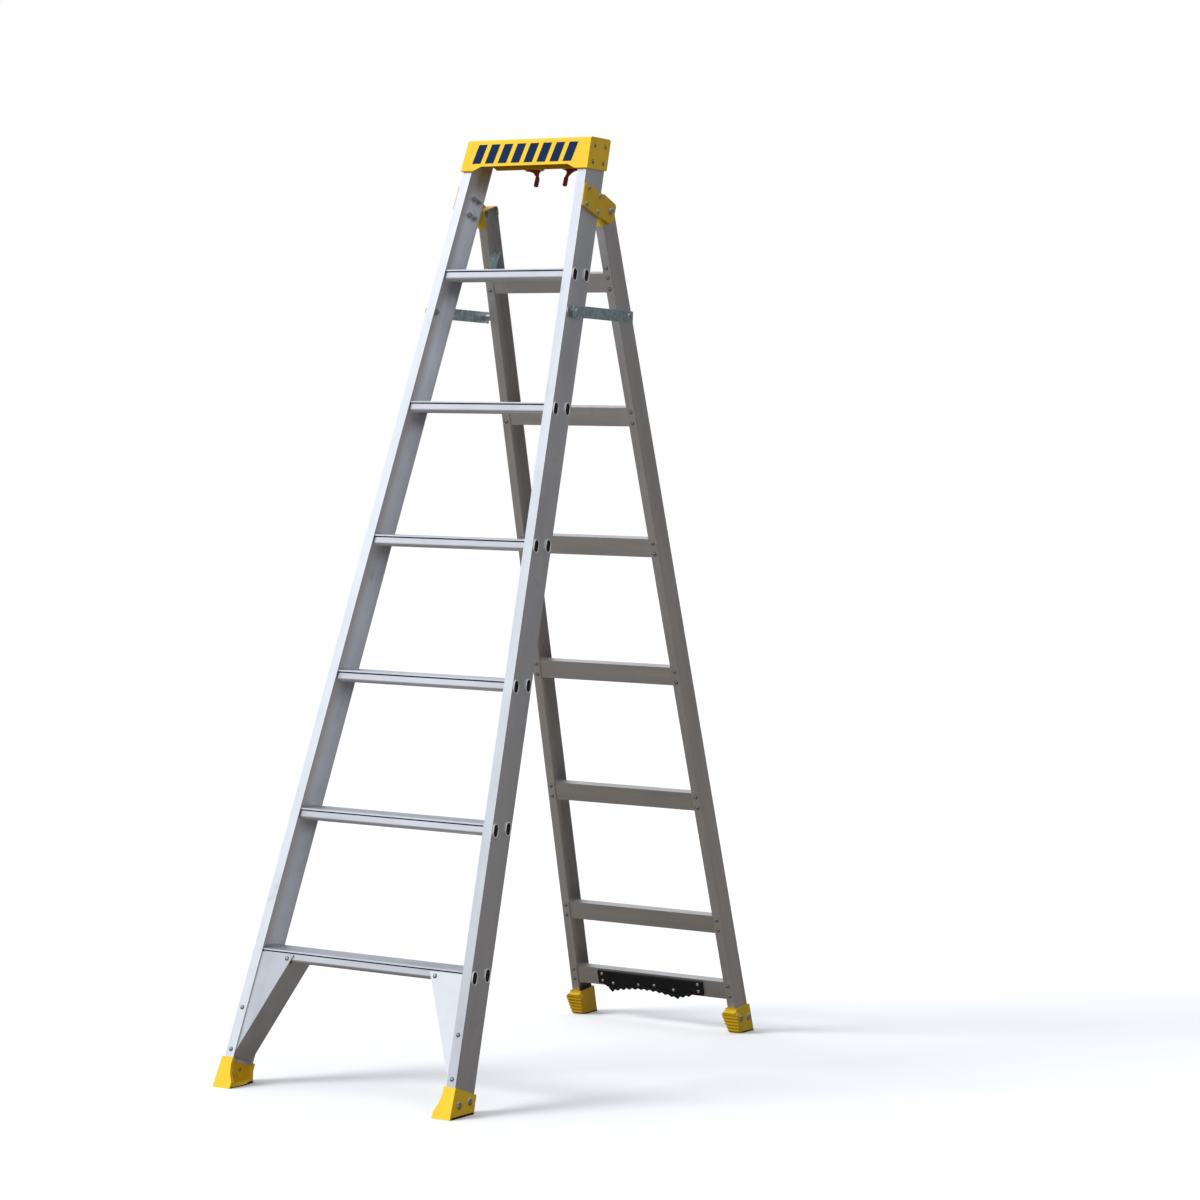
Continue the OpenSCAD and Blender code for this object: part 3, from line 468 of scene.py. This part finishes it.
def flare_lips():
    """Rolled rims on the tread tubes, where they are spread over the outside of the stiles."""
    reach, thick, out = 0.0020, 0.0011, 0.0018
    rim = oval(TUBE_W / 2 + reach, TUBE_H / 2 + reach, 12)
    mesh = bmesh.new()
    for side in SIDES:
        for k in TREADS:
            for depth, along in tube_centres(k):
                sweep(mesh, [(out, depth + a, along + b) for a, b in rim], thick, on_front[side])
    # The rims wear a painted highlight.
    finish_piece("flare_lips", mesh, rim_highlight_metal, "front_frame")


def tube_hole_shadows():
    """Dark discs in the ends of the tread tubes: painted shade for the dark inside of the deep holes."""
    out, thick = 0.00135, 0.0005
    plug = oval(0.0076, 0.0126, 10)
    mesh = bmesh.new()
    for k in TREADS:
        for side in SIDES:
            for depth, along in tube_centres(k):
                prism(mesh, [(out, depth + a, along + b) for a, b in plug], (-thick, 0, 0), on_front[side])
    finish_piece("tube_hole_shadows", mesh, black, "front_frame")


def groove_shadow_strips():
    """A dark strip in each tread's front groove: painted shadow in the groove."""
    front, back, top, bottom = 0.0031, 0.0044, -0.00305, -0.00575
    end_gap = 0.009
    mesh = bmesh.new()
    for k in TREADS:
        step_z = tread_top(k)
        step_y = front_place.translation.y + step_z * math.tan(FRONT_LEAN)
        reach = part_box(f"tread_{k}")[1].x - end_gap
        outline = (front, top), (back, top), (back, bottom), (front, bottom)
        prism(mesh, [(-reach, step_y + y, step_z + z) for y, z in outline], (2 * reach, 0, 0), Matrix())
    finish_piece("groove_shadow_strips", mesh, groove_shadow_black, "front_frame")


def sole_outline(start, end, thick, first_groove, pitch):
    """Side view of a sole: (y, z) with round grooves across its lower face."""
    radius, sink, steps = 0.0034, 0.0014, 6
    half = math.sqrt(radius ** 2 - sink ** 2)
    points = [(start, 0)]
    centre = first_groove
    while centre < end - half:
        for i in range(steps + 1):
            across = half * (2 * i / steps - 1)
            points.append((centre + across, math.sqrt(radius ** 2 - across ** 2) - sink))
        centre += pitch
    return points + [(end, 0), (end, thick), (start, thick)]


# The front boot's inner edge: (place along the stile, distance inside the web)
BOOT_FLARE = ((0.013, 0.0395), (0.018, 0.037), (0.030, 0.030))


def front_boot_inside(along):
    for (low, wide), (high, narrow) in zip(BOOT_FLARE, BOOT_FLARE[1:]):
        if along < high:
            return wide + max(0, along - low) / (high - low) * (narrow - wide)
    return BOOT_FLARE[-1][1]


def sole(name, body, outline, start_y, sign, half, lean, splay, inside, outside):
    """A dark ribbed sole that keeps just outside the boot's two sides."""
    proud = 0.0003
    edges = [], []
    for y, z in outline:
        along = y * math.sin(lean) + z * math.cos(lean)
        for points, reach in zip(edges, (-inside(along) - proud, outside + proud)):
            x = half + reach * math.cos(splay) - along * math.sin(splay)
            points.append((sign * x, start_y + y, z))
    mesh = bmesh.new()
    loft(mesh, *edges)
    finish_piece(name, mesh, black, body)


def soles():
    for side, sign in SIDES.items():
        sole(f"front_sole_{side}", "front_frame", sole_outline(-0.0035, 0.0782, 0.0042, 0.001, 0.013),
             front_place.translation.y, sign, FRONT_HALF, FRONT_LEAN, FRONT_SPLAY, front_boot_inside, 0.0035)
        sole(f"rear_sole_{side}", "rear_frame", sole_outline(0.001, 0.058, 0.0032, 0.006, 0.014),
             rear_place.translation.y, sign, REAR_HALF, -REAR_LEAN, REAR_SPLAY, lambda along: 0.025, 0.005)


def dome(mesh, place, radius, height, grip, tail=0.8):
    """A domed head on +Z, with a spread tail behind the sheets it holds."""
    arcs = [math.radians(a) for a in (0, 15, 30, 45, 60, 75, 86)]
    curve = [(radius * math.cos(a), 0.0004 + (height - 0.0004) * math.sin(a)) for a in arcs]
    lathe(mesh, [(radius, 0), *curve], place)
    lathe(mesh, [(0.7 * tail * radius, -grip - 0.0016), (tail * radius, -grip - 0.0008),
                 (tail * radius, -grip)], place, 16)


RIVET_R = 0.0039


def rivet(mesh, shadow_rings, place, grip, height=0.002, tail=0.8):
    """A domed rivet with a ring of painted shadow around its head."""
    dome(mesh, place, RIVET_R, height, grip, tail)
    # The ring is painted shadow round the head.
    lathe(shadow_rings, [(1.24 * RIVET_R, 0), (1.24 * RIVET_R, 0.00012), (0.9 * RIVET_R, 0.0004)], place)


def foot_bolt(mesh, place, grip):
    """The broad flat head of a bolt through a boot."""
    dome(mesh, place, 0.008, 0.0036, grip, 0.62)


def turned(place, x, depth, along, angle, axis):
    return place @ Matrix.Translation((x, depth, along)) @ Matrix.Rotation(math.radians(angle), 4, axis)


def nut(mesh, place, grip, radius, height):
    """Washer, hexagon nut and the end of the thread."""
    lathe(mesh, [(1.25 * radius, -grip - 0.001), (1.25 * radius, -grip)], place, 24)
    lathe(mesh, [(0.86 * radius, -grip - height), (radius, -grip - height + 0.0007), (radius, -grip - 0.001)],
          place, 6)
    lathe(mesh, [(0.42 * radius, -grip - height - 0.004), (0.54 * radius, -grip - height - 0.003),
                 (0.54 * radius, -grip - height)], place, 20)


# Places of the fasteners, as in the CAD model
CAP_RIVET_DEPTHS = (0.015, 0.056)
CAP_RIVET_DROPS = (0.014, 0.05)
BRACE_RIVET_PLACES = (0.08, 0.168)
FRONT_DEPTH = 0.071
FRONT_FLANGE_MID = -0.01075
REAR_FLANGE_MID = -0.0095
HINGE_BOLT_DEPTHS = (0.013, 0.059)
HINGE_BOLT_LIFTS = (-0.0185, 0.0185)
PIVOT_ALONG = front_along(1.835, 0.106)
RUNG_TOPS = [0.124] + [0.288 + 0.3 * k for k in range(6)]
RUNG_RIVET_DROPS = (0.008, 0.033)
GUSSET_RIVET_LIFT = 0.014


def front_fasteners():
    """Domed rivets and bolts in place of the front section's plain ones."""
    cap, brace, foot, hinge, shadow_rings = (bmesh.new() for _ in range(5))
    for side, sign in SIDES.items():
        front = on_front[side]
        for depth in CAP_RIVET_DEPTHS:
            for drop in CAP_RIVET_DROPS:
                along = front_along(CAP_TOP - drop, depth)
                rivet(cap, shadow_rings, turned(front, 0.0045, depth, along, 90, "Y"), 0.0068)
        for along in BRACE_RIVET_PLACES:
            rivet(brace, shadow_rings, turned(front, FRONT_FLANGE_MID, 0, along, 90, "X"), 0.0046)
            rivet(brace, shadow_rings, turned(front, FRONT_FLANGE_MID, FRONT_DEPTH, along, -90, "X"), 0.0046)
        brace_top = turned(front_place, sign * 0.184, 0.0025, 0.278, 90, "X")
        rivet(brace, shadow_rings, brace_top, 0.002, height=0.0018, tail=0.5)
        for depth, along in ((0.017, 0.032), (0.054, 0.046)):
            foot_bolt(foot, turned(front, 0.0035, depth, along, 90, "Y"), 0.009)
        for depth in HINGE_BOLT_DEPTHS:
            for lift in HINGE_BOLT_LIFTS:
                place = turned(front, 0.006, depth, PIVOT_ALONG + lift, 90, "Y")
                dome(hinge, place, 0.0058, 0.003, 0.0045, 0.5)
                nut(hinge, place, 0.0082, 0.0053, 0.005)
    finish_piece("cap_rivet_heads", cap, rivet_metal, "front_frame", stands_for=["cap_rivets"])
    finish_piece("brace_rivet_heads", brace, rivet_metal, "front_frame", stands_for=["brace_rivets"])
    finish_piece("front_foot_bolts", foot, bolt_metal, "front_frame", stands_for=["front_foot_rivets"])
    finish_piece("hinge_nuts_and_bolts", hinge, bolt_metal, "front_frame", stands_for=["hinge_bolts"])
    # Dark rings of painted shadow round the rivet heads.
    finish_piece("front_rivet_shadows", shadow_rings, rivet_shadow_paint, "front_frame")


def rear_fasteners():
    """Domed rivets and bolts in place of the rear section's plain ones."""
    rung, foot, shadow_rings = (bmesh.new() for _ in range(3))
    for side in SIDES:
        rear = on_rear[side]
        for top in RUNG_TOPS:
            for drop in RUNG_RIVET_DROPS:
                rivet(rung, shadow_rings, turned(rear, REAR_FLANGE_MID, 0, top - drop, 90, "X"), 0.0045)
        gusset_along = RUNG_TOPS[-1] + GUSSET_RIVET_LIFT
        rivet(rung, shadow_rings, turned(rear, REAR_FLANGE_MID, 0, gusset_along, 90, "X"), 0.0039)
        for depth, along in ((0.0095, 0.033), (0.044, 0.022)):
            foot_bolt(foot, turned(rear, 0.005, depth, along, 90, "Y"), 0.007)
    finish_piece("rung_rivet_heads", rung, rivet_metal, "rear_frame", stands_for=["rung_rivets"])
    finish_piece("rear_foot_bolts", foot, bolt_metal, "rear_frame", stands_for=["rear_foot_rivets"])
    # Dark rings of painted shadow round the rivet heads.
    finish_piece("rear_rivet_shadows", shadow_rings, rivet_shadow_paint, "rear_frame")


def grip_jaw():
    """A thicker toothed band along the pole grip's lower edge."""
    half, low, left, right, pitch, tooth = 0.1405, 0.069, -0.105, 0.070, 0.016, 0.0044
    sheet_front, band, height = -0.0024, 0.0026, 0.0105

    def edge(x):
        if x < left:
            return 0.088 - 0.019 * (x + half) / (left + half)
        if x > right:
            return low + 0.017 * ((x - right) / (half - right)) ** 0.7
        return low + 0.013 * math.sin(math.pi * (x - left) / (right - left)) ** 0.8

    xs = [left + (i - 1) * pitch / 2 for i in range(29)]
    lower = [(x, -band, edge(x) + 0.0004 + (0 if i % 2 else tooth)) for i, x in enumerate(xs)]
    upper = [(x, -band, edge(x) + height) for x in xs[::-2]]
    mesh = bmesh.new()
    prism(mesh, lower + upper, (0, band + 0.0004, 0), rear_place @ Matrix.Translation((0, sheet_front, 0)))
    finish_piece("grip_jaw", mesh, black, "rear_frame", edge=0.0005)


cap_bars()
flare_lips()
tube_hole_shadows()
groove_shadow_strips()
soles()
front_fasteners()
rear_fasteners()
grip_jaw()


# ---- Stage ----

def floor():
    """Pale paper to the eye. In reflections it is darker, as ground under a ladder outdoors is."""
    mesh = bmesh.new()
    bmesh.ops.create_circle(mesh, cap_ends=True, radius=80, segments=96)
    data = bpy.data.meshes.new("floor")
    mesh.to_mesh(data)
    piece = bpy.data.objects.new("floor", data)
    bpy.context.scene.collection.objects.link(piece)
    shader = Shader("floor_paper", Roughness=1.0, Specular_IOR_Level=0.0)
    seen = shader.add("ShaderNodeLightPath").outputs["Is Camera Ray"]
    shader.finish("Base Color", shader.mix(seen, (0.2, 0.18, 0.16), (0.86, 0.86, 0.86)))
    data.materials.append(shader.material)


def soft_sun(name, towards, strength, spread, colour=(1, 1, 1)):
    """Even light for surfaces that scatter it. Metal mirrors the sky instead."""
    light = bpy.data.lights.new(name, "SUN")
    light.energy = strength
    light.angle = math.radians(spread)
    light.color = colour
    lamp = bpy.data.objects.new(name, light)
    bpy.context.scene.collection.objects.link(lamp)
    lamp.rotation_euler = Vector(towards).to_track_quat("-Z", "Y").to_euler()
    lamp.visible_glossy = False


# Sky colour from the dim side to the bright side, and the direction of the bright side
SKY = (
    (0.0, (0.1, 0.1, 0.1)), (0.32, (0.16, 0.16, 0.17)), (0.6, (0.5, 0.52, 0.56)), (0.8, (0.78, 0.81, 0.88)),
    (0.93, (1.0, 1.04, 1.11)), (0.985, (1.04, 1.08, 1.15)), (0.995, (2.4, 2.4, 2.5)))
BRIGHT_SIDE = (-0.62, -0.2, 0.76)
BACKDROP = (1, 1, 1)


def studio_world():
    """A sky that is bright to the left and above, and dim to the right and low down."""
    world = bpy.data.worlds.new("studio")
    bpy.context.scene.world = world
    world.use_nodes = True
    tree = world.node_tree
    background = tree.nodes["Background"]
    place = tree.nodes.new("ShaderNodeTexCoord")
    aim = tree.nodes.new("ShaderNodeVectorMath")
    aim.operation = "DOT_PRODUCT"
    aim.inputs[1].default_value = Vector(BRIGHT_SIDE).normalized()
    to_unit = tree.nodes.new("ShaderNodeMapRange")
    to_unit.inputs["From Min"].default_value = -1
    ramp = tree.nodes.new("ShaderNodeValToRGB")
    points = ramp.color_ramp.elements
    while len(points) < len(SKY):
        points.new(0.5)
    for point, (position, colour) in zip(points, SKY):
        point.position = position
        point.color = (*colour, 1)
    seen = tree.nodes.new("ShaderNodeLightPath")
    choose = tree.nodes.new("ShaderNodeMix")
    choose.data_type = "RGBA"
    choose.inputs[7].default_value = (*BACKDROP, 1)
    tree.links.new(place.outputs["Generated"], aim.inputs[0])
    tree.links.new(aim.outputs["Value"], to_unit.inputs["Value"])
    tree.links.new(to_unit.outputs[0], ramp.inputs["Fac"])
    tree.links.new(seen.outputs["Is Camera Ray"], choose.inputs[0])
    tree.links.new(ramp.outputs["Color"], choose.inputs[6])
    tree.links.new(choose.outputs[2], background.inputs["Color"])


# Where the photo was taken from, fitted together with the two sections
CAMERA_PLACE = (3.9474, -6.1067, 1.2657)
CAMERA_TURN = (31.56, -2.09, 1.38)
LENS_MM = 100.97


def photo_camera():
    """Looks over the ladder from its front right, a little above its middle."""
    yaw, pitch, roll = (math.radians(a) for a in CAMERA_TURN)
    forward = Vector((-math.sin(yaw) * math.cos(pitch), math.cos(yaw) * math.cos(pitch), math.sin(pitch)))
    level = Vector((math.cos(yaw), math.sin(yaw), 0))
    raised = level.cross(forward)
    right = level * math.cos(roll) + raised * math.sin(roll)
    up = raised * math.cos(roll) - level * math.sin(roll)
    data = bpy.data.cameras.new("camera")
    data.sensor_width = 36
    data.lens = LENS_MM
    data.clip_end = 200
    camera = bpy.data.objects.new("camera", data)
    bpy.context.scene.collection.objects.link(camera)
    camera.matrix_world = Matrix.Translation(CAMERA_PLACE) @ Matrix(
        (right, up, -forward)).transposed().to_4x4()
    bpy.context.scene.camera = camera


floor()
studio_world()
soft_sun("key", (0.5, 0.72, -0.6), 2.3, 24)
soft_sun("fill", (-0.8, 0.4, -0.3), 0.35, 40)
photo_camera()
bpy.context.scene.view_settings.view_transform = "Standard"
